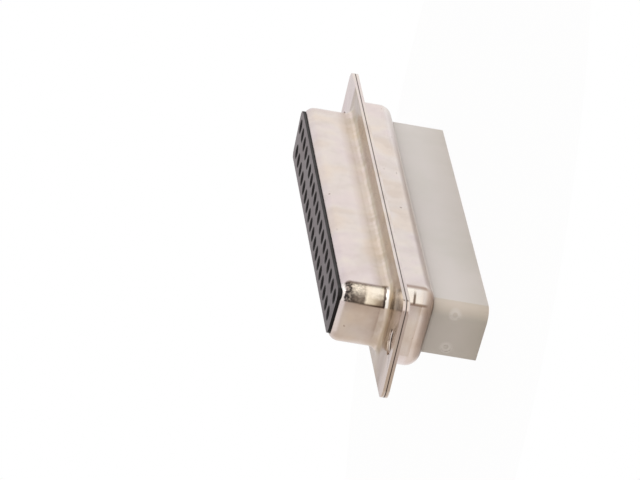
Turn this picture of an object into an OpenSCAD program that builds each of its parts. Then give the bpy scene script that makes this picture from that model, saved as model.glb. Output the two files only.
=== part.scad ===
// Crimp connector with a D-shaped metal shell and two staggered rows of socket contacts.
// The front of the mounting flange is z = 0 and the sockets open towards +z.
// The rows run along x, and the wide row is on the +y side.

/* [Contact grid] */
// Contacts in the wide row, one more than in the narrow row
wide_row_contacts = 19; // [5:1:25]
// Distance between neighbouring contacts of a row
contact_pitch = 2.76; // [2.7:0.01:3]
// Distance between the two rows
row_spacing = 2.84; // [2.7:0.01:3.2]

/* [Shells] */
// Thickness of the steel sheet
sheet = 0.4; // [0.3:0.05:0.5]
// Slant of the two ends of every D-shaped outline
slant = 10; // [8:1:12]
// From the last contact of the wide row to the end of the front shell, at mid height
front_end_margin = 2.58; // [2.4:0.02:3]
// From each row to the long side of the front shell
front_side_margin = 2.53; // [2.4:0.01:2.9]
// Corner radius of the front shell
front_corner_r = 2.6; // [2.2:0.1:3]
// Height of the front shell's rim above the flange
front_shell_height = 6.11; // [5:0.01:8]
// Radius of the turned-in rim of the front shell
front_rim_r = 1.3; // [1:0.1:1.6]
// Distance that the front rim reaches inwards
front_rim_reach = 0.8; // [0.7:0.05:0.9]
// Radius between the flange and the front shell
front_base_r = 1.2; // [0.6:0.1:1.5]
// Distance by which the rear shell is wider than the front shell on the long sides
rear_side_step = 1.41; // [1.2:0.01:1.6]
// Distance by which the rear shell is longer than the front shell at each end
rear_end_step = 0.95; // [0.8:0.01:1.5]
// Corner radius of the rear shell
rear_corner_r = 2.6; // [2.4:0.1:3.4]
// Depth of the rear shell behind its flange
rear_shell_height = 4.13; // [3.8:0.01:6]
// Radius of the rear shell's rounded back edge
rear_rim_r = 1.7; // [1.2:0.05:1.75]
// Radius between the flange and the rear shell
rear_base_r = 0.5; // [0.3:0.1:0.6]

/* [Flange] */
// Width of the flange
flange_width = 12.55; // [12.4:0.05:14]
// From the end of the front shell to the centre of a mounting hole
hole_beyond_shell = 4.33; // [4:0.01:6]
// From the centre of a mounting hole to the end of the flange
flange_beyond_hole = 2.91; // [2.5:0.01:5]
// Corner radius of the flange
flange_corner_r = 1.45; // [0.5:0.05:2.5]
// Diameter of the mounting holes
mounting_hole_d = 3.05; // [2.6:0.05:3.3]

/* [Insulators] */
// Gap between an insulator and the shell round it
shell_gap = 0.08; // [0.05:0.01:0.15]
// Gap between the pierced edge of a shell and the insulator that stands through it
pierced_gap = 0.1; // [0.05:0.01:0.15]
// Height of the socket face above the front rim
face_stand = 0.17; // [0.1:0.01:1]
// Corner radius of the socket face
face_corner_r = 1; // [0.9:0.05:1.6]
// Thickness of the front insulator's shoulder
front_shoulder = 2; // [1.5:0.1:2.4]
// Length of the rear block behind the rear shell
block_length = 6.72; // [4:0.01:10]
// From the last contact of the wide row to the end of the rear block, at mid height
block_end_margin = 1.3; // [1.25:0.01:1.5]
// From each row to the long side of the rear block
block_side_margin = 2.09; // [1.8:0.01:2.1]
// Corner radius of the block
block_corner_r = 0.3; // [0.2:0.05:0.6]
// Radius of the corner beside contact 1, rounded more than the others to mark that end
marked_corner_r = 1.5; // [0.6:0.1:1.8]
// Diameter of the round marks that the moulding tool leaves in the block's ends
gate_mark_d = 1.3; // [0.8:0.1:1.6]
// Distance between the two marks of one end
gate_mark_spacing = 4.5; // [3.6:0.1:4.8]
// Distance of the marks behind the rear shell
gate_mark_back = 2.85; // [1:0.05:5]
// Depth of the marks
gate_mark_depth = 0.08; // [0.04:0.01:0.12]
// Diameter of the nub in the middle of a mark
gate_nub_d = 0.5; // [0.3:0.05:0.7]

/* [Cavities] */
// Diameter of the entry hole for a pin
entry_hole_d = 1.5; // [1.3:0.05:1.6]
// Thickness of the wall that the entry holes pass through
entry_wall = 0.9; // [0.6:0.1:1.4]
// Bevel that leads a pin into an entry hole
entry_lead_in = 0.21; // [0.1:0.01:0.25]
// Bevel round the mouths of the contacts and of the wire holes
mouth_bevel = 0.06; // [0.02:0.01:0.1]
// Gap between a contact and the cavity round it
cavity_gap = 0.08; // [0.04:0.01:0.1]
// Gap between a contact's mouth and the entry wall
mouth_gap = 0.18; // [0.1:0.01:0.5]

/* [Contacts] */
// Bore of the socket, which takes a pin of 1.02
socket_bore_d = 1.04; // [1:0.01:1.1]
// Depth of the socket bore
socket_bore_depth = 5.8; // [4:0.1:6]
// Outer diameter of the hood over the tines
hood_d = 1.74; // [1.7:0.01:1.8]
// Wall of the hood
hood_wall = 0.08; // [0.06:0.01:0.1]
// Thickness of the hood's lip in front of the tines
hood_lip = 0.12; // [0.08:0.01:0.15]
// Gap between the hood and the tines
hood_gap = 0.02; // [0.01:0.01:0.03]
// Length of the hood
hood_length = 6.4; // [5.8:0.1:6.6]
// Width of the slot between the two tines
tine_slot = 0.3; // [0.2:0.05:0.4]
// Diameter of the collar
collar_d = 1.9; // [1.84:0.01:1.94]
// Length of the collar
collar_length = 1.9; // [1.4:0.1:2]
// Diameter of the crimp barrel
barrel_d = 1.7; // [1.6:0.01:1.75]
// Length of the crimp barrel
barrel_length = 4.9; // [4.5:0.1:6]
// Diameter of the barrel's wire bore
wire_bore_d = 1.14; // [1:0.02:1.3]
// Depth of the barrel's wire bore
wire_bore_depth = 4; // [3.4:0.1:4.2]
// Diameter of the inspection hole in the barrel
inspection_hole_d = 0.5; // [0.3:0.05:0.6]

/* [Retention clips] */
// Wall of a clip
clip_wall = 0.1; // [0.08:0.01:0.12]
// Length of a clip
clip_length = 3.6; // [3.2:0.1:3.9]
// Gap between the clip and the collar inside it
clip_gap = 0.05; // [0.03:0.01:0.07]
// Width of the slit along a clip
clip_slit = 0.35; // [0.2:0.05:0.5]
// Length of the clip's tines
clip_tine_length = 0.95; // [0.7:0.05:1.1]

/* [Hidden] */
$fn = 64;
// Facets of one swept corner and of one bend in a section
corner_steps = 12;
arc_steps = 6;
// Distance by which pieces of one solid run into each other, and cuts run past a face
lap = 0.1;
narrow_row_contacts = wide_row_contacts - 1;
contact_count = wide_row_contacts + narrow_row_contacts;
wide_row_reach = (wide_row_contacts - 1) * contact_pitch / 2;

// A D-shaped outline is [half length at mid height, half height, corner r, r of the corner beside contact 1]
front_outline = [wide_row_reach + front_end_margin, row_spacing / 2 + front_side_margin,
    front_corner_r, front_corner_r];
face_outline = [front_outline[0] - (front_rim_reach + pierced_gap) / cos(slant),
    front_outline[1] - front_rim_reach - pierced_gap, face_corner_r, face_corner_r];
rear_outline = [front_outline[0] + rear_end_step, front_outline[1] + rear_side_step,
    rear_corner_r, rear_corner_r];
block_outline = [wide_row_reach + block_end_margin, row_spacing / 2 + block_side_margin,
    block_corner_r, marked_corner_r];

hole_x = front_outline[0] + hole_beyond_shell;
flange_length = 2 * (hole_x + flange_beyond_hole);

// Heights along z
face_z = front_shell_height + face_stand;
entry_back_z = face_z - entry_wall;
hood_front_z = entry_back_z - mouth_gap;
shoulder_back_z = -sheet - front_shoulder;
rear_rim_z = -2 * sheet - rear_shell_height;
block_back_z = rear_rim_z - block_length;
collar_front_z = shoulder_back_z;
collar_back_z = collar_front_z - collar_length;
barrel_end_z = collar_back_z - barrel_length;
tines_back_z = hood_front_z - hood_length;

// Cavity diameters
sleeve_bore_d = hood_d + 2 * cavity_gap;
wire_entry_d = collar_d + 2 * cavity_gap;
clip_bore_d = collar_d + 2 * clip_gap;
clip_d = clip_bore_d + 2 * clip_wall;
clip_pocket_d = clip_d + 2 * clip_gap;
clip_front_z = shoulder_back_z - clip_gap;
clip_back_z = clip_front_z - clip_length;

function two_digits(n) = n < 10 ? str("0", n) : str(n);

// Outline d moved outwards by t all round
function grow(d, t) = [d[0] + t / cos(slant), d[1] + t, d[2] + t, d[3] + t];

// Distance from the middle of outline d to the centre of a corner of radius r, on either side
function wide_corner_x(d, r) = d[0] + (d[1] - r) * tan(slant) - r / cos(slant);
function narrow_corner_x(d, r) = d[0] - (d[1] - r) * tan(slant) - r / cos(slant);

// The four corners of outline d, anticlockwise from contact 1: [x, y, radius, first angle, angle turned]
function corners(d) = [
    [wide_corner_x(d, d[3]), d[1] - d[3], d[3], -slant, 90 + slant],
    [-wide_corner_x(d, d[2]), d[1] - d[2], d[2], 90, 90 + slant],
    [-narrow_corner_x(d, d[2]), d[2] - d[1], d[2], 180 + slant, 90 - slant],
    [narrow_corner_x(d, d[2]), d[2] - d[1], d[2], 270, 90 - slant]];

// Depth of the cone that a drill leaves at the bottom of a bore
function drill_cone(d) = d / 2 * tan(31);

// Point of a corner's arc in the direction of angle a
function on_corner(c, a) = [c[0] + c[2] * cos(a), c[1] + c[2] * sin(a)];

// Place of contact n: number 1 is at the +x end of the wide row, and the narrow row follows the wide one
function contact_place(n) =
    n <= wide_row_contacts
    ? [wide_row_reach - (n - 1) * contact_pitch, row_spacing / 2]
    : [wide_row_reach - (n - wide_row_contacts - 0.5) * contact_pitch, -row_spacing / 2];

// Flat D-shaped plate inside outline d
module d_plate(d) {
    polygon([for (c = corners(d)) for (a = [c[3], c[3] + c[4]]) on_corner(c, a)]);
    for (c = corners(d))
        translate([c[0], c[1]])
            circle(r = c[2]);
}

// Solid D between the heights low and high
module d_block(d, low, high) {
    translate([0, 0, low])
        linear_extrude(high - low)
            d_plate(d);
}

// Points of an arc round centre c, from angle a to angle b
function arc(c, r, a, b) =
    [for (i = [0:arc_steps]) c + r * [cos(a + (b - a) * i / arc_steps), sin(a + (b - a) * i / arc_steps)]];

// Carries a closed section round outline d: a section point is [distance outwards, height]
module d_sweep(d, section) {
    stations = [for (c = corners(d)) for (i = [0:corner_steps]) [c, c[3] + c[4] * i / corner_steps]];
    n = len(section);
    m = len(stations);
    polyhedron(
        points = [for (s = stations) for (p = section)
            [s[0][0] + (s[0][2] + p[0]) * cos(s[1]), s[0][1] + (s[0][2] + p[0]) * sin(s[1]), p[1]]],
        faces = [for (j = [0:m - 1]) for (i = [0:n - 1])
            [j * n + i, j * n + (i + 1) % n, (j + 1) % m * n + (i + 1) % n, (j + 1) % m * n + i]]);
}

// Section of a drawn shell: flange, bend, skirt, rounded rim and the start of its flat lip
function shell_section(height, base_r, rim_r) = concat(
    [[base_r + 2 * lap, 0]],
    arc([base_r, base_r], base_r, 270, 180),
    arc([-rim_r, height - rim_r], rim_r, 0, 90),
    [[-rim_r - 2 * lap, height], [-rim_r - 2 * lap, height - sheet]],
    arc([-rim_r, height - rim_r], rim_r - sheet, 90, 0),
    arc([base_r, base_r], base_r + sheet, 180, 270),
    [[base_r + 2 * lap, -sheet]]);

// Flange with both mounting holes, its front at z = 0
module flange_plate(opening) {
    half_l = flange_length / 2 - flange_corner_r;
    half_w = flange_width / 2 - flange_corner_r;
    translate([0, 0, -sheet])
        linear_extrude(sheet)
            difference() {
                union() {
                    square([flange_length, 2 * half_w], center = true);
                    square([2 * half_l, flange_width], center = true);
                    for (x = [-half_l, half_l])
                        for (y = [-half_w, half_w])
                            translate([x, y])
                                circle(r = flange_corner_r);
                }
                d_plate(opening);
                for (x = [-hole_x, hole_x])
                    translate([x, 0])
                        circle(d = mounting_hole_d);
            }
}

// Shell drawn from one sheet: its flange's front is z = 0, and its rim is pierced to the outline given
module drawn_shell(d, height, base_r, rim_r, pierced) {
    difference() {
        union() {
            flange_plate(grow(d, base_r + lap));
            d_sweep(d, shell_section(height, base_r, rim_r));
            d_block(grow(d, -rim_r - lap), height - sheet, height);
        }
        d_block(pierced, height - rim_r - lap, height + lap);
    }
}

// D-shaped moulding between two heights, its upper edge rounded
module rounded_d_block(d, low, high, edge_r) {
    d_block(grow(d, -edge_r - lap), low, high);
    d_sweep(d, concat(
        [[-edge_r - 2 * lap, low], [0, low]],
        arc([-edge_r, high - edge_r], edge_r, 0, 90),
        [[-edge_r - 2 * lap, high]]));
}

module front_shell() {
    color("gainsboro")
        drawn_shell(front_outline, front_shell_height, front_base_r, front_rim_r,
            grow(face_outline, pierced_gap));
}

module rear_shell() {
    color("gainsboro")
        translate([0, 0, -2 * sheet])
            mirror([0, 0, 1])
                drawn_shell(rear_outline, rear_shell_height, rear_base_r, rear_rim_r,
                    grow(block_outline, pierced_gap));
}

// Cuts a round hole at every contact's place, between two heights
module cavity_bores(d, low, high) {
    for (n = [1:contact_count])
        translate(contact_place(n))
            translate([0, 0, low])
                cylinder(d = d, h = high - low);
}

// Bevels every hole's mouth in the face at height z by b, from one diameter below it to another above it
module mouth_bevels(z, b, below_d, above_d) {
    for (n = [1:contact_count])
        translate(contact_place(n))
            translate([0, 0, z - b])
                cylinder(d1 = below_d, d2 = above_d, h = 2 * b);
}

// Socket-face moulding: its body fills the front shell, and its shoulder lies behind the front flange
module front_insulator() {
    body = grow(front_outline, -sheet - shell_gap);
    pocket = grow(rear_outline, -sheet - shell_gap);
    color("dimgray")
        difference() {
            union() {
                rounded_d_block(body, -sheet - lap, front_shell_height - sheet - shell_gap,
                    front_rim_r - sheet - shell_gap);
                d_block(face_outline, front_shell_height - front_rim_r, face_z);
                d_block(pocket, shoulder_back_z, -sheet);
            }
            cavity_bores(entry_hole_d, entry_back_z - lap, face_z + lap);
            cavity_bores(sleeve_bore_d, shoulder_back_z - lap, entry_back_z);
            mouth_bevels(face_z, entry_lead_in, entry_hole_d, entry_hole_d + 4 * entry_lead_in);
        }
}

// Round mark left in the block's ends by the moulding tool, with a nub in the middle
module gate_mark() {
    difference() {
        cylinder(d = gate_mark_d, h = 2 * gate_mark_depth, center = true);
        translate([0, 0, -gate_mark_depth - lap])
            cylinder(d = gate_nub_d, h = gate_mark_depth + 2 * lap);
    }
}

// Wire-side moulding: its shoulder is held by the rear shell, and its block stands out behind
module rear_insulator() {
    pocket = grow(rear_outline, -sheet - shell_gap);
    seat_z = rear_rim_z + sheet;
    color("gainsboro")
        difference() {
            union() {
                mirror([0, 0, 1])
                    rounded_d_block(pocket, -shoulder_back_z, -seat_z, rear_rim_r - sheet - shell_gap / 2);
                d_block(block_outline, block_back_z, shoulder_back_z);
            }
            cavity_bores(clip_pocket_d, clip_back_z, shoulder_back_z + lap);
            cavity_bores(wire_entry_d, block_back_z - lap, clip_back_z + lap);
            mouth_bevels(block_back_z, mouth_bevel, wire_entry_d + 4 * mouth_bevel, wire_entry_d);
            for (side = [-1, 1])
                for (y = [-0.5, 0.5] * gate_mark_spacing)
                    translate([side * (block_outline[0] + y * tan(slant)), y, rear_rim_z - gate_mark_back])
                        rotate([0, 90 * side, 0])
                            rotate([slant, 0, 0])
                                gate_mark();
        }
}

// Turned contact: two sprung tines, a stub, the collar that the clip holds, and the crimp barrel
module socket_contact(n) {
    tine_d = hood_d - 2 * hood_wall - 2 * hood_gap;
    tines_front_z = hood_front_z - hood_lip - hood_gap;
    socket_floor_z = tines_front_z - socket_bore_depth;
    wire_floor_z = barrel_end_z + wire_bore_depth;
    color("goldenrod")
        translate(contact_place(n))
            difference() {
                rotate_extrude()
                    polygon([
                        [0, socket_floor_z - drill_cone(socket_bore_d)],
                        [socket_bore_d / 2, socket_floor_z],
                        [socket_bore_d / 2, tines_front_z - mouth_bevel],
                        [socket_bore_d / 2 + mouth_bevel, tines_front_z],
                        [tine_d / 2, tines_front_z],
                        [tine_d / 2, tines_back_z],
                        [hood_d / 2, tines_back_z],
                        [hood_d / 2, collar_front_z],
                        [collar_d / 2, collar_front_z],
                        [collar_d / 2, collar_back_z],
                        [barrel_d / 2, collar_back_z],
                        [barrel_d / 2, barrel_end_z],
                        [wire_bore_d / 2 + 2 * mouth_bevel, barrel_end_z],
                        [wire_bore_d / 2, barrel_end_z + 2 * mouth_bevel],
                        [wire_bore_d / 2, wire_floor_z],
                        [0, wire_floor_z + drill_cone(wire_bore_d)]]);
                translate([0, 0, tines_front_z + lap - socket_bore_depth / 2])
                    cube([hood_d, tine_slot, socket_bore_depth], center = true);
                translate([0, 0, wire_floor_z - inspection_hole_d])
                    rotate([0, 90, 0])
                        cylinder(d = inspection_hole_d, h = barrel_d);
            }
}

// Thin sleeves pressed over the tines, one on each contact
module contact_hoods() {
    color("silver")
        for (n = [1:contact_count])
            translate(contact_place(n))
                rotate_extrude()
                    polygon([
                        [hood_d / 2 - hood_wall, tines_back_z],
                        [hood_d / 2, tines_back_z],
                        [hood_d / 2, hood_front_z - hood_lip],
                        [hood_d / 2 - hood_lip, hood_front_z],
                        [socket_bore_d / 2 + hood_gap, hood_front_z],
                        [socket_bore_d / 2 + hood_gap, hood_front_z - hood_lip],
                        [hood_d / 2 - hood_wall, hood_front_z - hood_lip]]);
}

// Slit sleeves in the rear cavities, whose tines lean in and stop behind the collar
module retention_clips() {
    tine_foot_z = collar_back_z - clip_gap - clip_tine_length;
    tine_tip_z = collar_back_z - clip_gap;
    tip_r = barrel_d / 2 + clip_gap;
    color("darkgoldenrod")
        for (n = [1:contact_count])
            translate(contact_place(n))
                difference() {
                    rotate_extrude() {
                        translate([clip_bore_d / 2, clip_back_z])
                            square([clip_wall, clip_length]);
                        polygon([
                            [clip_d / 2 - clip_wall / 2, tine_foot_z - clip_wall],
                            [clip_d / 2 - clip_wall / 2, tine_foot_z],
                            [tip_r + clip_wall, tine_tip_z],
                            [tip_r, tine_tip_z]]);
                    }
                    translate([0, -clip_slit / 2, clip_back_z - lap])
                        cube([clip_d, clip_slit, clip_length + 2 * lap]);
                    translate([0, 0, tine_tip_z - clip_tine_length / 2])
                        cube([clip_bore_d, clip_slit, clip_tine_length + 2 * clip_wall], center = true);
                }
}

front_shell();
rear_shell();
front_insulator();
rear_insulator();
contact_hoods();
retention_clips();
for (n = [1:contact_count])
    socket_contact(n);
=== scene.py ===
import bpy
import bmesh
import math
from mathutils import Matrix, Vector


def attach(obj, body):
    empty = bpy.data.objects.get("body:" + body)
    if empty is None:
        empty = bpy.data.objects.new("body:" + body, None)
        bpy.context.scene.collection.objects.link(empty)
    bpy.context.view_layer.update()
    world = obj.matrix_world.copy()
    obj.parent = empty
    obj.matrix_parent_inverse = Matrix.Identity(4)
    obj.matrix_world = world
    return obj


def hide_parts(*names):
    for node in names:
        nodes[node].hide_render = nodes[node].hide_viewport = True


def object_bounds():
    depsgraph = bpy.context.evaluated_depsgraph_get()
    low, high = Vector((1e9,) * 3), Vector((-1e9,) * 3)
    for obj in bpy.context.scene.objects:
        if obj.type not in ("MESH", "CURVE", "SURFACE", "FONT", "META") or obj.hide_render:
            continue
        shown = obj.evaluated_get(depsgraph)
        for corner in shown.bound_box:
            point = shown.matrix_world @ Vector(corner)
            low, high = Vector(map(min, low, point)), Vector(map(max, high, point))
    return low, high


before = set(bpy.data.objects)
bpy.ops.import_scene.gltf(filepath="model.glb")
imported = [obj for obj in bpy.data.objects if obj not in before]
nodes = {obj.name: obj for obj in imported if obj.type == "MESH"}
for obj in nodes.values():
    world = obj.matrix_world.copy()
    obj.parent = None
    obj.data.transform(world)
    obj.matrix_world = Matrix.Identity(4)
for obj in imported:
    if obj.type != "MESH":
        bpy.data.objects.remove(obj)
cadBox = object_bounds()
mm = 0.001
print("frame loaded:", len(nodes), "nodes")

# where the eye is, in mm, and which way its own axes point, with a long lens
camera = {
    "place": (540.651, 230.410, 101.338),
    "right": (0.081131, 0.214212, -0.973412),
    "up": (-0.414803, 0.895292, 0.162448),
    "back": (0.906287, 0.390595, 0.161492),
    "lens": 278.829,
    "sensor": 36.0,
    "sees": (0.01, 20),     # nearest and farthest, m
}

eye = bpy.data.objects.new("camera", bpy.data.cameras.new("camera"))
eye.data.lens = camera["lens"]
eye.data.sensor_width = camera["sensor"]
eye.data.clip_start, eye.data.clip_end = camera["sees"]
turn = Matrix((camera["right"], camera["up"], camera["back"])).transposed()
eye.matrix_world = Matrix.Translation(Vector(camera["place"]) * mm) @ turn.to_4x4()
bpy.context.scene.collection.objects.link(eye)
bpy.context.scene.camera = eye


# sRGB hex to Blender's linear colour
def colour(code):
    parts = [int(code[i:i + 2], 16) / 255 for i in (0, 2, 4)]
    return [c / 12.92 if c < 0.04045 else ((c + 0.055) / 1.055) ** 2.4 for c in parts] + [1.0]


# adds one node, sets it up and links what is given as a socket; stops are a ramp's places and colours
def add(tree, kind, settings={}, inputs={}):
    node = tree.nodes.new(kind)
    for name, value in settings.items():
        if name != "stops":
            setattr(node, name, value)
    if "stops" in settings:
        marks = node.color_ramp.elements
        while len(marks) < len(settings["stops"]):
            marks.new(0.5)
        for i, (place, code) in enumerate(settings["stops"]):   # places first: a move can change the order
            marks[i].position = place
        for i, (place, code) in enumerate(settings["stops"]):
            marks[i].color = colour(code)
    for name, value in inputs.items():
        if isinstance(value, bpy.types.NodeSocket):
            tree.links.new(value, node.inputs[name])
        else:
            node.inputs[name].default_value = value
    return node


def newMaterial(name):
    material = bpy.data.materials.new(name)
    material.use_nodes = True
    material.node_tree.nodes.clear()
    return material, material.node_tree


# colour that runs with a value, from a table of (value, colour)
def tones(tree, value, table):
    low, high = table[0][0], table[-1][0]
    part = add(tree, "ShaderNodeMapRange", {}, {"Value": value, "From Min": low, "From Max": high})
    stops = [((at - low) / (high - low), code) for at, code in table]
    ramp = add(tree, "ShaderNodeValToRGB", {"stops": stops}, {"Fac": part.outputs["Result"]})
    return ramp.outputs["Color"]


# object coordinates in mm, whole and one by one
def places(tree):
    whole = add(tree, "ShaderNodeTexCoord").outputs["Object"]
    real = add(tree, "ShaderNodeVectorMath", {"operation": "SCALE"}, {0: whole, "Scale": 1 / mm}).outputs[0]
    return real, *add(tree, "ShaderNodeSeparateXYZ", {}, {"Vector": real}).outputs


# degrees round an upright corner with its centre at (x, y)
def bearing(tree, x, y, centre):
    across = [add(tree, "ShaderNodeMath", {"operation": "SUBTRACT"}, {0: value, 1: middle}).outputs[0]
              for value, middle in zip((x, y), centre)]
    turn = add(tree, "ShaderNodeMath", {"operation": "ARCTAN2"}, {0: across[1], 1: across[0]})
    return add(tree, "ShaderNodeMath", {"operation": "DEGREES"}, {0: turn.outputs[0]}).outputs[0]


# lays one tone after another over a colour: (how it blends, tone, masks that all have to let it through)
def layered(tree, skin, layers):
    for blend, tone, *masks in layers:
        share = masks[0] if masks else 1.0
        for mask in masks[1:]:
            share = add(tree, "ShaderNodeMath", {"operation": "MULTIPLY"}, {0: share, 1: mask}).outputs[0]
        skin = add(tree, "ShaderNodeMix", {"data_type": "RGBA", "blend_type": blend}, {
            0: share, 6: skin, 7: tone}).outputs[2]
    return skin


# drawn steel sheet with a satin nickel plate: warm grey and cloudy, with painted reflection and shade in
# the bends, and painted highlights, dark reflections and galls at the corners beside contact 1
satinNickel = {
    "roughness": 0.2,
    # patterns: mm from one mark to the next, octaves of finer marks, and the share that each octave keeps
    "cloud": (4.0, 5.0, 0.6),
    "hue": (7.0, 2.0, 0.6),
    "wave": (3.0, 2.0, 0.6),        # in the bands
    "speck": (0.5, 0.0, 0.6),       # dust pits, wider than real ones so that they show
    "gallAndReflectionNoise": (0.28, 4.0, 0.6),
    "stray": (0.7, 4.0, 0.6),       # notches in the edges of the patches of painted reflection at the corners
    "grain": (0.06, 2.0, 0.6),      # of the sheet under the plate, coarser than the real one to show
    "blotch": (2.5, 3.0, 0.5),      # random slightly darker, yellower blotches at the foot
    # tones of each pattern, from its low places to its high ones
    "clouds": [(0.36, "D9CDC6"), (0.5, "E0D5CF"), (0.64, "E4D9D1")],
    "hues": [(0.38, "FFFBF5"), (0.5, "FFFFFF"), (0.62, "FDFAFF")],
    "specks": [(0.0, "FFFFFF"), (0.84, "FFFFFF"), (0.87, "B4A89E"), (1.0, "B4A89E")],
    "blotches": [(0.36, "EFECE3"), (0.5, "FFFFFF"), (0.64, "F8F5EC")],
    "gallAndReflectionTones": (0.42, 0.6, 0.25, 1.9),    # low and high places of the corner's speckle, and how dark and how bright it is: partly galls, partly painted dark reflections and glints
    "grainDepth": 0.02,             # mm
    "grainStrength": 0.05,
    "wander": 0.22,                 # mm that the bands wave
    "frontFrom": -0.03,             # mm, the foot's tones stay above this height
    "footFade": (0.4, 1.8),         # mm above the flange where the blotches end
    "liftFade": (26.4, 27.4),       # mm from the middle where the paler rim ends
    "bands": [      # tone at each height of both shells, mm: painted shade on the sheared back lip where it meets the moulding, painted shade in the seam between the two flanges, the rest
        (-4.95, "C4BCBC"), (-4.78, "DAD4D4"), (-4.6, "FFFFFF"), (-0.475, "FFFFFF"),
        (-0.455, "6E5E57"), (-0.345, "6E5E57"), (-0.33, "FFFFFF"),
        (5.1, "FFFFFF"), (5.6, "F6F6FB"), (6.2, "F6F6FB")],
    "foot": [       # tone up the front skirt from its flange, mm: painted reflection, a bright line between duller bands in the bend
        (-0.02, "D8D5C9"), (0.28, "DAD6CB"), (0.42, "FBF8F4"), (0.55, "FFFCF8"), (0.7, "F2EDE6"),
        (1.3, "EDE8E1"), (1.9, "F6F3F0"), (2.4, "FFFFFF")],
    "footEnd": [    # the same at its two ends: painted reflection and shade, darker and more olive low in the bend
        (-0.02, "CEC5B4"), (0.3, "CEC5B4"), (0.5, "EEE8DF"), (0.75, "FFFFFF"), (1.3, "FFFFFF")],
    "footReach": [  # how much of both shows, by mm along the part
        (-29.4, "000000"), (-28.4, "FFFFFF"), (30.4, "FFFFFF"), (33.0, "000000")],
    "tab": [(28.2, "FFFFFF"), (31, "F1EFEE")],      # the tab beside contact 1, a shade duller
    "lipEnd": [     # tone up the back rim where it goes round the ends, mm: painted shade where it meets the moulding, and painted shade that dims its reflection above
        (-4.95, "7C6F69"), (-4.72, "8E817A"), (-4.5, "F2ECE7"), (-3.9, "ECE4DE"), (-3.3, "F4EFEB"),
        (-2.9, "FFFFFF")],
    "lift": "FFFCFB",       # the back rim is painted paler along the long sides, by height: a painted reflection
    "lifted": [(-4.95, "FFFFFF"), (-4.3, "C0C0C0"), (-3.5, "303030"), (-3.2, "000000")],
    "ends": [(26.6, "000000"), (27.4, "FFFFFF")],       # mm from the middle where the ends start
}
# the corners beside contact 1, where highlights and dark reflections are painted. Each row of the corner's
# table of painted reflection is (mm above the flange's front, tone of the upper half, tone of the lower
# half). Heights are in mm and turns in degrees round the centre, and "around" and "up" bound the painted
# patch.
frontCorner = {
    "centre": (25.018, 1.35),
    "paintedReflection": [
        (0.35, "EEE9E4", "E6E0DA"), (0.5, "FAF6F2", "F6F0EA"), (0.68, "FAF6F2", "F0EAE2"),
        (0.76, "74665E", "352A26"), (0.94, "8E8075", "3E332E"), (1.06, "DED4C4", "7A6C60"),
        (1.5, "ECE4D8", "A09180"), (2.2, "EEE6DA", "CFC3B2"), (2.9, "EADFD2", "E4D9CA"),
        (3.2, "C4B9AC", "6E635A"), (3.66, "DBD1C5", "786D64"), (4.36, "DFD5C8", "60564F"),
        (4.66, "AFA59B", "544B46"), (4.84, "7C736C", "6C645E"), (5.3, "746B66", "665E5A"),
        (5.44, "534A48", "534A48"), (5.6, "FAF5EF", "F4ECE4"), (5.9, "FAF5EF", "EAE0D8")],
    "ragged": 0.5, "raggedTurn": 22,                # mm and degrees that the edges stray
    "halves": [(34, "000000"), (56, "FFFFFF")],     # turn where the lower half gives way to the upper
    # speckle by height: partly galls, partly painted dark reflections and glints
    "gallsAndReflections": [
        (1.0, "000000"), (1.1, "202020"), (3.0, "2C2C2C"), (3.15, "707070"), (4.66, "A0A0A0"),
        (4.8, "FFFFFF"), (5.46, "FFFFFF"), (5.56, "000000")],
    "around": [(17, "000000"), (20.5, "FFFFFF"), (73, "FFFFFF"), (78, "000000")],
    "up": [(0.34, "000000"), (0.46, "FFFFFF"), (5.85, "FFFFFF"), (6.0, "000000")],
    # painted dark reflections: upright lines, by turn and by height
    "lines": [(15, "FFFFFF"), (17.5, "85766C"), (19.5, "85766C"), (22, "FFFFFF")],
    "linesUp": [
        (0.7, "000000"), (0.8, "FFFFFF"), (2.0, "FFFFFF"), (4.0, "A0A0A0"), (5.4, "404040"),
        (5.5, "000000")],
}
rearCorner = {
    "centre": (26.217, 2.76),
    # painted highlight and dark reflection on the rear shell's corner
    "paintedReflection": [
        (-3.95, "E2D8D0", "DED4CB"), (-3.5, "ECE5DF", "E8E0DA"), (-2.5, "EEE6E0", "E8E0D8"),
        (-2.38, "EEE6DC", "7A6A5E"), (-2.22, "EEE5DA", "7A6A5E"), (-2.1, "F7F0E6", "ECE3DA"),
        (-0.8, "F9F2E8", "ECE3DA")],
    "ragged": 0.12, "raggedTurn": 10,
    "halves": [(44, "000000"), (58, "FFFFFF")],
    "around": [(20, "000000"), (25, "FFFFFF"), (62, "FFFFFF"), (69, "000000")],
    "up": [(-4.1, "000000"), (-3.6, "FFFFFF"), (-0.9, "FFFFFF"), (-0.82, "000000")],
    # painted dark reflections: upright lines, by turn
    "lines": [
        (16, "FFFFFF"), (20, "B6A89E"), (23, "B6A89E"), (27, "FFFFFF"), (62, "FFFFFF"), (69, "CBC1BA"),
        (73, "CBC1BA"), (80, "FFFFFF")],
}


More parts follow.
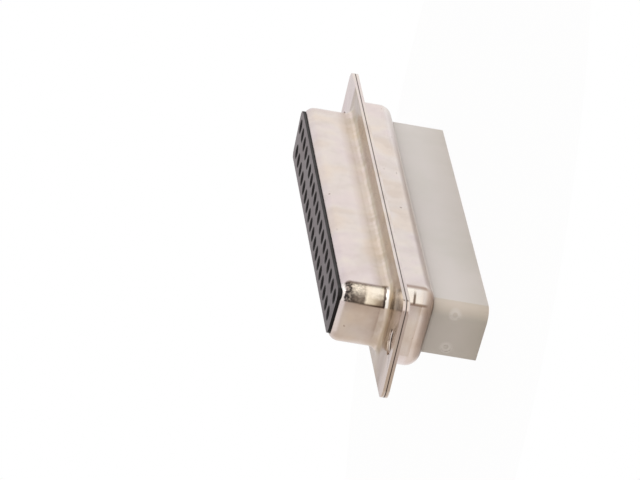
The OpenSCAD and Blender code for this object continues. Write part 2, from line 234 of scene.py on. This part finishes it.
def makeNickel(s):
    material, tree = newMaterial("satin nickel plate on drawn steel")
    real, x, y, z = places(tree)
    names = ("cloud", "hue", "wave", "speck", "gallAndReflectionNoise", "stray", "grain", "blotch")
    cloud, hue, wave, speck, gallAndReflectionNoise, stray, grain, blotch = [add(tree, "ShaderNodeTexNoise", {}, {
        "Vector": real, "Scale": 1 / size, "Detail": octaves, "Roughness": kept}).outputs["Fac"]
        for size, octaves, kept in (s[name] for name in names)]
    rise = add(tree, "ShaderNodeMath", {"operation": "MULTIPLY_ADD"}, {
        0: wave, 1: s["wander"], 2: -s["wander"] / 2}).outputs[0]
    waved = add(tree, "ShaderNodeMath", {"operation": "ADD"}, {0: z, 1: rise}).outputs[0]
    away = add(tree, "ShaderNodeMath", {"operation": "ABSOLUTE"}, {0: x}).outputs[0]
    front = add(tree, "ShaderNodeMath", {"operation": "GREATER_THAN"}, {0: z, 1: s["frontFrom"]}).outputs[0]
    low, sides = [add(tree, "ShaderNodeMapRange", {}, {
        "Value": value, "From Min": near, "From Max": far, "To Min": 1.0, "To Max": 0.0}).outputs[0]
        for value, (near, far) in ((waved, s["footFade"]), (away, s["liftFade"]))]
    atEnds = tones(tree, away, s["ends"])
    reach = tones(tree, x, s["footReach"])
    foot = layered(tree, tones(tree, waved, s["foot"]), [("MIX", tones(tree, waved, s["footEnd"]), atEnds)])
    plate = layered(tree, tones(tree, cloud, s["clouds"]), [
        ("MULTIPLY", tones(tree, hue, s["hues"])),
        ("MULTIPLY", tones(tree, speck, s["specks"])),
        ("MULTIPLY", foot, front, reach),
        ("MULTIPLY", tones(tree, blotch, s["blotches"]), front, reach, low),
        ("MULTIPLY", tones(tree, x, s["tab"]))])
    off = add(tree, "ShaderNodeMath", {"operation": "SUBTRACT"}, {0: stray, 1: 0.5}).outputs[0]  # both ways
    # painted highlights and dark reflections at the corners beside contact 1
    for corner in (frontCorner, rearCorner):
        turn = bearing(tree, x, y, corner["centre"])
        ragged, raggedTurn = [add(tree, "ShaderNodeMath", {"operation": "MULTIPLY_ADD"}, {
            0: off, 1: size, 2: value}).outputs[0]
            for size, value in ((corner["ragged"], z), (corner["raggedTurn"], turn))]
        lower, upper = [tones(tree, ragged, [(row[0], row[column]) for row in corner["paintedReflection"]])
                        for column in (2, 1)]
        paintedReflection = layered(tree, lower, [("MIX", upper, tones(tree, raggedTurn, corner["halves"]))])
        # speckle at the front corner: galls together with painted dark reflections and glints
        if "gallsAndReflections" in corner:
            least, most, dark, bright = s["gallAndReflectionTones"]
            pitsAndReflections = add(tree, "ShaderNodeMapRange", {}, {
                "Value": gallAndReflectionNoise, "From Min": least, "From Max": most, "To Min": dark, "To Max": bright})
            gallsAndReflections = tones(tree, z, corner["gallsAndReflections"])
            paintedReflection = layered(tree, paintedReflection, [("MULTIPLY", pitsAndReflections.outputs[0], gallsAndReflections)])
        linesUp = tones(tree, z, corner.get("linesUp", corner["up"]))
        plate = layered(tree, plate, [
            ("MIX", paintedReflection, tones(tree, turn, corner["around"]), tones(tree, z, corner["up"])),
            ("MULTIPLY", tones(tree, turn, corner["lines"]), linesUp)])
    # painted reflection on the back rim's long sides, then painted shade at the back lip, in the seam and
    # round the rim's ends
    plate = layered(tree, plate, [
        ("MIX", colour(s["lift"]), sides, tones(tree, z, s["lifted"])),
        ("MULTIPLY", tones(tree, z, s["bands"])),
        ("MULTIPLY", tones(tree, z, s["lipEnd"]), atEnds)])
    bump = add(tree, "ShaderNodeBump", {}, {
        "Height": grain, "Strength": s["grainStrength"], "Distance": s["grainDepth"] * mm})
    shader = add(tree, "ShaderNodeBsdfPrincipled", {}, {
        "Base Color": plate, "Metallic": 1.0, "Roughness": s["roughness"],
        "Normal": bump.outputs["Normal"]})
    add(tree, "ShaderNodeOutputMaterial", {}, {"Surface": shader.outputs["BSDF"]})
    return material


nickel = makeNickel(satinNickel)

# glass-filled polyester, moulded: a fine matt skin with faint flow clouds and the odd fibre end showing,
# dark at the socket face and pale at the wire side
mouldedSkin = {
    "ior": 1.54,                # of the resin
    "octaves": (3.0, 1.0, 2.0), # of finer marks in the clouds, the flecks and the grain
    "cloudy": (0.35, 0.65),     # noise where the clouds are full and where they end
    "fleckSize": 0.3,           # mm; a real fibre end, near 0.01, is too fine to show
    "flecks": (0.72, 0.8),      # noise where a fleck starts and where it is full
    "grainStrength": 0.4,
}
# sizes and depths are in mm; "down" gives tones by height and "along" by place along the part
darkMoulding = {
    **mouldedSkin, "light": "6F676B", "cloud": "676064", "cloudSize": 3.5, "fleck": "625B5E",
    "grainSize": 0.14, "grainDepth": 0.012, "roughness": (0.38, 0.48),
    "gloss": 0.25,              # matched: this skin shines less than clean resin
    "down": [                   # painted shade down the sides and in the holes
        (5.9, "30282A"), (6.25, "2C2426"), (6.275, "FFFFFF"), (6.4, "FFFFFF")],
    "along": [(-27, "FFFFFF"), (27, "CBC7C9")],
}
paleMoulding = {
    **mouldedSkin, "light": "E4E1E1", "cloud": "DEDCDA", "cloudSize": 6.0, "fleck": "E4E1DE",
    "grainSize": 0.16, "grainDepth": 0.015, "roughness": (0.46, 0.56),
    "gloss": 0.5,
    # painted shade on the block just under the back rim of the shell, and a little darker towards the back
    # face
    "down": [(-12, "FAF9F6"), (-8, "FFFFFF"), (-5.4, "FFFFFF"), (-4.9, "E6E2DE")],
    "along": [(-27, "FFFFFF"), (0, "F8F8F8"), (27, "FFFFFF")],
    "corner": (25.06, 2.01),    # centre of the corner beside contact 1, round which painted shade and sheen turn: the end and the corner are darker and warmer than the long side
    "round": [
        (-60, "F1F0EB"), (0, "F0EFE9"), (25, "F5F0E7"), (60, "FAF3EA"), (84, "F7F2E9"), (91, "FFFFFF")],
    "pads": (2.25, -7.78), "padsBeyond": 25.2,      # y, z and least x of the ends' round tool marks, mm
    "padTone": "EFECEA",
    "ring": [
        (0, "606060"), (0.22, "303030"), (0.4, "D8D8D8"), (0.62, "B0B0B0"), (0.85, "303030"),
        (1, "000000")],
}


def makeMoulding(name, s):
    material, tree = newMaterial(name)
    real, x, y, z = places(tree)
    cloud, fleck, grain = [add(tree, "ShaderNodeTexNoise", {}, {
        "Vector": real, "Scale": 1 / size, "Detail": octaves}).outputs["Fac"]
        for size, octaves in zip((s["cloudSize"], s["fleckSize"], s["grainSize"]), s["octaves"])]
    fibres = add(tree, "ShaderNodeMapRange", {}, {
        "Value": fleck, "From Min": s["flecks"][0], "From Max": s["flecks"][1]}).outputs[0]
    layers = [("MIX", colour(s["fleck"]), fibres),
              ("MULTIPLY", tones(tree, z, s["down"])),
              ("MULTIPLY", tones(tree, x, s["along"]))]
    # painted shade and sheen round the corner, by bearing
    if "corner" in s:
        layers.append(("MULTIPLY", tones(tree, bearing(tree, x, y, s["corner"]), s["round"])))
    if "pads" in s:
        apart, away = [add(tree, "ShaderNodeMath", {"operation": "ABSOLUTE"}, {0: value}).outputs[0]
                       for value in (y, x)]
        flat = add(tree, "ShaderNodeCombineXYZ", {}, {"X": apart, "Y": z})
        far = add(tree, "ShaderNodeVectorMath", {"operation": "DISTANCE"}, {
            0: flat.outputs[0], 1: (*s["pads"], 0)}).outputs["Value"]
        atEnd = add(tree, "ShaderNodeMath", {"operation": "GREATER_THAN"}, {
            0: away, 1: s["padsBeyond"]}).outputs[0]
        layers.append(("MIX", colour(s["padTone"]), atEnd, tones(tree, far, s["ring"])))
    full, gone = s["cloudy"]
    skin = layered(tree, tones(tree, cloud, [(full, s["cloud"]), (gone, s["light"])]), layers)
    rough = add(tree, "ShaderNodeMapRange", {}, {
        "Value": cloud, "From Min": full, "From Max": gone,
        "To Min": s["roughness"][0], "To Max": s["roughness"][1]})
    bump = add(tree, "ShaderNodeBump", {}, {
        "Height": grain, "Strength": s["grainStrength"], "Distance": s["grainDepth"] * mm})
    shader = add(tree, "ShaderNodeBsdfPrincipled", {}, {
        "Base Color": skin, "Roughness": rough.outputs["Result"], "IOR": s["ior"],
        "Specular IOR Level": s["gloss"], "Normal": bump.outputs["Normal"]})
    add(tree, "ShaderNodeOutputMaterial", {}, {"Surface": shader.outputs["BSDF"]})
    return material


darkPlastic = makeMoulding("dark glass-filled polyester, moulded", darkMoulding)
palePlastic = makeMoulding("pale glass-filled polyester, moulded", paleMoulding)

# small metal parts: turned brass under thin gold shows fine rings, and rolled stainless and stamped copper
# show long streaks. Marks are waves to the mm along x, y and z, coarser than real ones so that they show.
thinMetal = {
    "octaves": 3.0,             # of finer marks in the marks
    "wear": (0.35, 0.6),        # noise where the metal is worn and where it is light
    "smooth": (0.3, 0.7),       # noise where it is smoothest and where it is roughest
    "depth": 0.01,              # mm
    "strength": 0.3,
}
goldPlate = {
    **thinMetal, "light": "E2B866", "worn": "D0A252", "roughness": (0.2, 0.32), "marks": (0.5, 0.5, 14.0)}
stainlessSleeve = {
    **thinMetal, "light": "C9C5C1", "worn": "B8B3AE", "roughness": (0.24, 0.36), "marks": (8.0, 8.0, 0.8)}
springCopper = {
    **thinMetal, "light": "C79A62", "worn": "B08550", "roughness": (0.3, 0.42), "marks": (8.0, 8.0, 0.8)}


def makeSmallMetal(name, s):
    material, tree = newMaterial(name)
    real = places(tree)[0]
    drawn = add(tree, "ShaderNodeVectorMath", {"operation": "MULTIPLY"}, {0: real, 1: s["marks"]})
    streak = add(tree, "ShaderNodeTexNoise", {}, {
        "Vector": drawn.outputs[0], "Scale": 1.0, "Detail": s["octaves"]}).outputs["Fac"]
    skin = tones(tree, streak, [(s["wear"][0], s["worn"]), (s["wear"][1], s["light"])])
    rough = add(tree, "ShaderNodeMapRange", {}, {
        "Value": streak, "From Min": s["smooth"][0], "From Max": s["smooth"][1],
        "To Min": s["roughness"][0], "To Max": s["roughness"][1]})
    bump = add(tree, "ShaderNodeBump", {}, {
        "Height": streak, "Strength": s["strength"], "Distance": s["depth"] * mm})
    shader = add(tree, "ShaderNodeBsdfPrincipled", {}, {
        "Base Color": skin, "Metallic": 1.0, "Roughness": rough.outputs["Result"],
        "Normal": bump.outputs["Normal"]})
    add(tree, "ShaderNodeOutputMaterial", {}, {"Surface": shader.outputs["BSDF"]})
    return material


gold = makeSmallMetal("thin gold plate on turned brass", goldPlate)
stainless = makeSmallMetal("rolled stainless sleeve", stainlessSleeve)
springy = makeSmallMetal("stamped beryllium copper", springCopper)
for each in (nickel, darkPlastic, palePlastic, gold, stainless, springy):
    print("made", each.name)


# puts a material on a piece that keeps its CAD shape
def dress(node, material):
    if nodes[node].material_slots:
        for each in nodes[node].material_slots:
            each.material = material
    else:
        nodes[node].data.materials.append(material)


dress("front_insulator", darkPlastic)
dress("rear_insulator", palePlastic)
dress("contact_hoods", stainless)
dress("retention_clips", springy)
for name in nodes:
    if name.startswith("socket_contact"):
        dress(name, gold)
print("inner pieces dressed")

slant = math.radians(10)
quarter = math.pi / 2


# D outline as [half length, half height, corner radius, radius beside contact 1], moved outwards by t
def grow(d, t):
    return [d[0] + t / math.cos(slant), d[1] + t, d[2] + t, d[3] + t]


# its corners as (x, y, radius, first angle, angle turned)
def dCorners(d):
    across = lambda r, side: d[0] + side * (d[1] - r) * math.tan(slant) - r / math.cos(slant)
    return [
        (across(d[3], 1), d[1] - d[3], d[3], -slant, quarter + slant),
        (-across(d[2], 1), d[1] - d[2], d[2], quarter, quarter + slant),
        (-across(d[2], -1), d[2] - d[1], d[2], math.pi + slant, quarter - slant),
        (across(d[2], -1), d[2] - d[1], d[2], 3 * quarter, quarter - slant),
    ]


# closed line through rounded corners at height z: each corner is one point spun round its centre
def roundedLine(bm, cornerList, z, steps):
    before = set(bm.edges)
    ends = []
    for x, y, r, first, turned in cornerList:
        start = bm.verts.new(Vector((x + r * math.cos(first), y + r * math.sin(first), z)) * mm)
        spun = bmesh.ops.spin(bm, geom=[start], cent=Vector((x, y, z)) * mm, axis=(0, 0, 1),
                              angle=turned, steps=steps)
        ends.append((start, [g for g in spun["geom_last"] if isinstance(g, bmesh.types.BMVert)][0]))
    for i, (start, last) in enumerate(ends):
        bm.edges.new((last, ends[(i + 1) % len(ends)][0]))
    return [e for e in bm.edges if e not in before]


# how far a point lies inside outline d
def reachInwards(p, d):
    for x, y, r, first, turned in dCorners(d):
        if (math.atan2(p.y / mm - y, p.x / mm - x) - first) % (4 * quarter) <= turned:
            return r - math.hypot(p.y / mm - y, p.x / mm - x)
    return min(d[1] - abs(p.y / mm), (d[0] + p.y / mm * math.tan(slant) - abs(p.x / mm)) * math.cos(slant))


# one sheet: flange with two holes, bend, skirt and rounded rim, drawn up from z = 0 and turned over if it
# looks back
def drawnShell(name, node, s):
    bm = bmesh.new()
    n = s["bendSteps"]
    r = s["baseBend"]
    loops = []
    for a in [quarter * i / n for i in range(n + 1)]:
        line = dCorners(grow(s["outline"], r * (1 - math.sin(a))))
        loops.append(roundedLine(bm, line, r * (1 - math.cos(a)), s["cornerSteps"]))
    reach = s["outline"][1] - s["lip"][1]
    r = s["rimBend"]
    for a in [math.acos(1 - reach / r) * i / n for i in range(n + 1)]:
        share = r * (1 - math.cos(a)) / reach
        between = [p + (q - p) * share for p, q in zip(s["outline"], s["lip"])]
        loops.append(roundedLine(bm, dCorners(between), 0, s["cornerSteps"]))
        for v in {v for e in loops[-1] for v in e.verts}:
            inside = 1 - min(max(reachInwards(v.co, s["outline"]), 0), r) / r
            v.co.z = (s["height"] - r + r * math.sqrt(1 - inside * inside)) * mm
    for below, above in zip(loops, loops[1:]):
        bmesh.ops.bridge_loops(bm, edges=below + above)
    foot, lip = loops[0], loops[-1]
    if s["opening"]:
        hole = roundedLine(bm, dCorners(s["opening"]), s["height"], s["cornerSteps"])
        bmesh.ops.triangle_fill(bm, edges=lip + hole, use_beauty=True, normal=(0, 0, 1))
    wide, tall, r = s["flange"]
    x, y = wide / 2 - r, tall / 2 - r
    border = roundedLine(bm, [(x, y, r, 0, quarter), (-x, y, r, quarter, quarter),
                              (-x, -y, r, 2 * quarter, quarter), (x, -y, r, 3 * quarter, quarter)],
                         0, s["flangeSteps"])
    for side in (-1, 1):
        middle = Matrix.Translation((side * s["hole"][0] * mm, 0, 0))
        ring = bmesh.ops.create_circle(bm, cap_ends=False, radius=s["hole"][1] / 2 * mm,
                                       segments=s["holeSides"], matrix=middle)
        border += list({e for v in ring["verts"] for e in v.link_edges})
    bmesh.ops.triangle_fill(bm, edges=foot + border, use_beauty=True, normal=(0, 0, 1))
    bmesh.ops.recalc_face_normals(bm, faces=bm.faces)
    flat = max(bm.faces, key=lambda f: abs(f.calc_center_median().x))       # on the flange
    if flat.normal.z < 0:
        bmesh.ops.reverse_faces(bm, faces=bm.faces)
    if s["looksBack"]:
        bmesh.ops.scale(bm, vec=(1, 1, -1), verts=bm.verts)
        bmesh.ops.translate(bm, vec=(0, 0, s["flangeZ"] * mm), verts=bm.verts)
        bmesh.ops.reverse_faces(bm, faces=bm.faces)
    mesh = bpy.data.meshes.new(name)
    bm.to_mesh(mesh)
    bm.free()
    mesh.materials.append(nickel)
    for face in mesh.polygons:
        face.use_smooth = True
    piece = bpy.data.objects.new(name, mesh)
    bpy.context.scene.collection.objects.link(piece)
    wall = piece.modifiers.new("sheet", "SOLIDIFY")
    wall.thickness = s["sheet"] * mm
    wall.offset = -1
    wall.use_even_offset = True
    edge = piece.modifiers.new("sheared edge", "BEVEL")
    edge.width = s["edge"] * mm
    edge.segments = s["edgeSteps"]
    edge.limit_method = "ANGLE"
    edge.angle_limit = math.radians(s["edgeFrom"])
    shade = piece.modifiers.new("shade", "WEIGHTED_NORMAL")
    shade.keep_sharp = True
    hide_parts(node)
    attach(piece, "root")
    print(name, len(mesh.polygons), "faces before its sheet")


# sizes in mm: outline and lip as [half length, half height, two corner radii], hole as place and diameter
sheetMetal = {
    "flange": (69.32, 12.55, 1.45), "hole": (31.75, 3.05), "sheet": 0.385, "edge": 0.05,
    "edgeFrom": 50,             # degrees, the least turn that counts as a sheared edge
    "cornerSteps": 20, "bendSteps": 8, "flangeSteps": 8, "holeSides": 48, "edgeSteps": 2,
}
frontOutline = [27.42, 3.95, 2.6, 2.6]
rearOutline = [28.37, 5.36, 2.6, 2.6]
rearMoulding = [26.14, 3.51, 0.3, 1.5]
frontShell = {
    **sheetMetal, "outline": frontOutline, "height": 6.11, "baseBend": 1.2, "rimBend": 1.3,
    "lip": grow(frontOutline, -0.8)[:2] + [1.1, 1.1], "opening": None,      # open, its edge curled in
    "looksBack": False, "flangeZ": 0,
}
rearShell = {
    **sheetMetal, "outline": rearOutline, "height": 4.13, "baseBend": 0.5, "rimBend": 1.7,
    "lip": grow(rearOutline, -1.7), "opening": grow(rearMoulding, 0.1),     # a close fit round the moulding
    "looksBack": True, "flangeZ": -0.8,
}
drawnShell("frontShell", "front_shell", frontShell)
drawnShell("rearShell", "rear_shell", rearShell)

# stage: a small pale floor under the block, on white; its paint shows in the metal only close by
stage = {
    "radius": 0.06,             # m
    "sides": 96,
    "paint": "CFCAC8",
    "glow": 0.97,               # share of plain white that the eye sees over the shadow
    "near": (0.070, 0.018),     # half axes of the ground that the metal shows, m
    "fade": (0.45, 0.85),       # shares of those axes where the paint ends
}


def makeFloorPaint(s):
    material, tree = newMaterial("pale floor")
    way = add(tree, "ShaderNodeLightPath")
    paint = add(tree, "ShaderNodeBsdfDiffuse", {}, {"Color": colour(s["paint"])})
    glow = add(tree, "ShaderNodeEmission", {}, {"Color": (1, 1, 1, 1), "Strength": 1.0})
    mixed = add(tree, "ShaderNodeMixShader", {}, {0: s["glow"], 1: paint.outputs[0], 2: glow.outputs[0]})
    where = add(tree, "ShaderNodeTexCoord")
    spread = add(tree, "ShaderNodeVectorMath", {"operation": "MULTIPLY"}, {
        0: where.outputs["Object"], 1: (1 / s["near"][0], 1 / s["near"][1], 0)})
    length = add(tree, "ShaderNodeVectorMath", {"operation": "LENGTH"}, {0: spread.outputs[0]})
    clear = add(tree, "ShaderNodeMapRange", {}, {
        "Value": length.outputs["Value"], "From Min": s["fade"][0], "From Max": s["fade"][1]})
    shine = add(tree, "ShaderNodeMath", {"operation": "MULTIPLY"}, {
        0: way.outputs["Is Glossy Ray"], 1: clear.outputs[0]})
    white = add(tree, "ShaderNodeMath", {"operation": "MAXIMUM"}, {
        0: way.outputs["Is Camera Ray"], 1: shine.outputs[0]})
    seen = add(tree, "ShaderNodeMixShader", {}, {
        0: white.outputs[0], 1: paint.outputs[0], 2: mixed.outputs[0]})
    add(tree, "ShaderNodeOutputMaterial", {}, {"Surface": seen.outputs[0]})
    return material


bm = bmesh.new()
bmesh.ops.create_circle(bm, cap_ends=True, radius=stage["radius"], segments=stage["sides"],
                        matrix=Matrix.Translation((0, 0, cadBox[0].z)))
floorMesh = bpy.data.meshes.new("floor")
bm.to_mesh(floorMesh)
bm.free()
floorMesh.materials.append(makeFloorPaint(stage))
floor = bpy.data.objects.new("floor", floorMesh)
bpy.context.scene.collection.objects.link(floor)
print("floor laid")

# studio: white sheets all round, dark where two of them meet, and a warmer room behind the eye
studio = {
    "round": [      # what stands at each bearing, in degrees from +X towards +Y
        (-180, "EAE8E6"), (-157, "D6D2D4"), (-120, "DDD9D6"), (-80, "CCC4BC"), (-43, "CBC4BC"),
        (0, "BAB0A6"), (14, "B0A498"), (26, "FFFBF4"), (114, "FFFBF4"), (124, "7C7064"), (136, "7C7064"),
        (146, "F1F0EF"), (180, "EAE8E6")],
    "above": "E8E5E2",
    "aboveFrom": (0.5, 0.8),    # sine of the height at which the ceiling takes over
    "level": 1.2,               # brightness of it all
}

world = bpy.data.worlds.new("studio")
world.use_nodes = True
bpy.context.scene.world = world
tree = world.node_tree
tree.nodes.clear()
way = add(tree, "ShaderNodeLightPath")
where = add(tree, "ShaderNodeTexCoord")
axes = add(tree, "ShaderNodeSeparateXYZ", {}, {"Vector": where.outputs["Generated"]})
turned = add(tree, "ShaderNodeMath", {"operation": "ARCTAN2"}, {0: axes.outputs["Y"], 1: axes.outputs["X"]})
along = add(tree, "ShaderNodeMapRange", {}, {
    "Value": turned.outputs[0], "From Min": -math.pi, "From Max": math.pi})
stops = [(degrees / 360 + 0.5, code) for degrees, code in studio["round"]]
sheets = add(tree, "ShaderNodeValToRGB", {"stops": stops}, {"Fac": along.outputs["Result"]})
height = add(tree, "ShaderNodeMath", {"operation": "ABSOLUTE"}, {0: axes.outputs["Z"]})
up = add(tree, "ShaderNodeMapRange", {"interpolation_type": "SMOOTHSTEP"}, {
    "Value": height.outputs[0], "From Min": studio["aboveFrom"][0], "From Max": studio["aboveFrom"][1]})
tent = add(tree, "ShaderNodeMix", {"data_type": "RGBA"}, {
    0: up.outputs["Result"], 6: sheets.outputs["Color"], 7: colour(studio["above"])})
around = add(tree, "ShaderNodeBackground", {}, {"Color": tent.outputs[2], "Strength": studio["level"]})
white = add(tree, "ShaderNodeBackground", {}, {"Color": (1, 1, 1, 1), "Strength": 1.0})
sky = add(tree, "ShaderNodeMixShader", {}, {
    0: way.outputs["Is Camera Ray"], 1: around.outputs[0], 2: white.outputs[0]})
add(tree, "ShaderNodeOutputWorld", {}, {"Surface": sky.outputs[0]})

# lamps: name, place and size in m, watts, colour; each looks at the part's middle
lamps = [
    ("key", (-0.10, 0.70, 0.55), (0.8, 0.8), 0.76, "FFFBF8"),
]
for name, place, size, watts, code in lamps:
    light = bpy.data.lights.new(name, "AREA")
    light.shape = "RECTANGLE"
    light.size, light.size_y = size
    light.energy = watts
    light.color = colour(code)[:3]
    lamp = bpy.data.objects.new(name, light)
    lamp.location = place
    lamp.rotation_mode = "QUATERNION"
    lamp.rotation_quaternion = Vector(place).to_track_quat("Z", "Y")
    bpy.context.scene.collection.objects.link(lamp)
print("studio lit")

bpy.context.scene.view_settings.view_transform = "Standard"
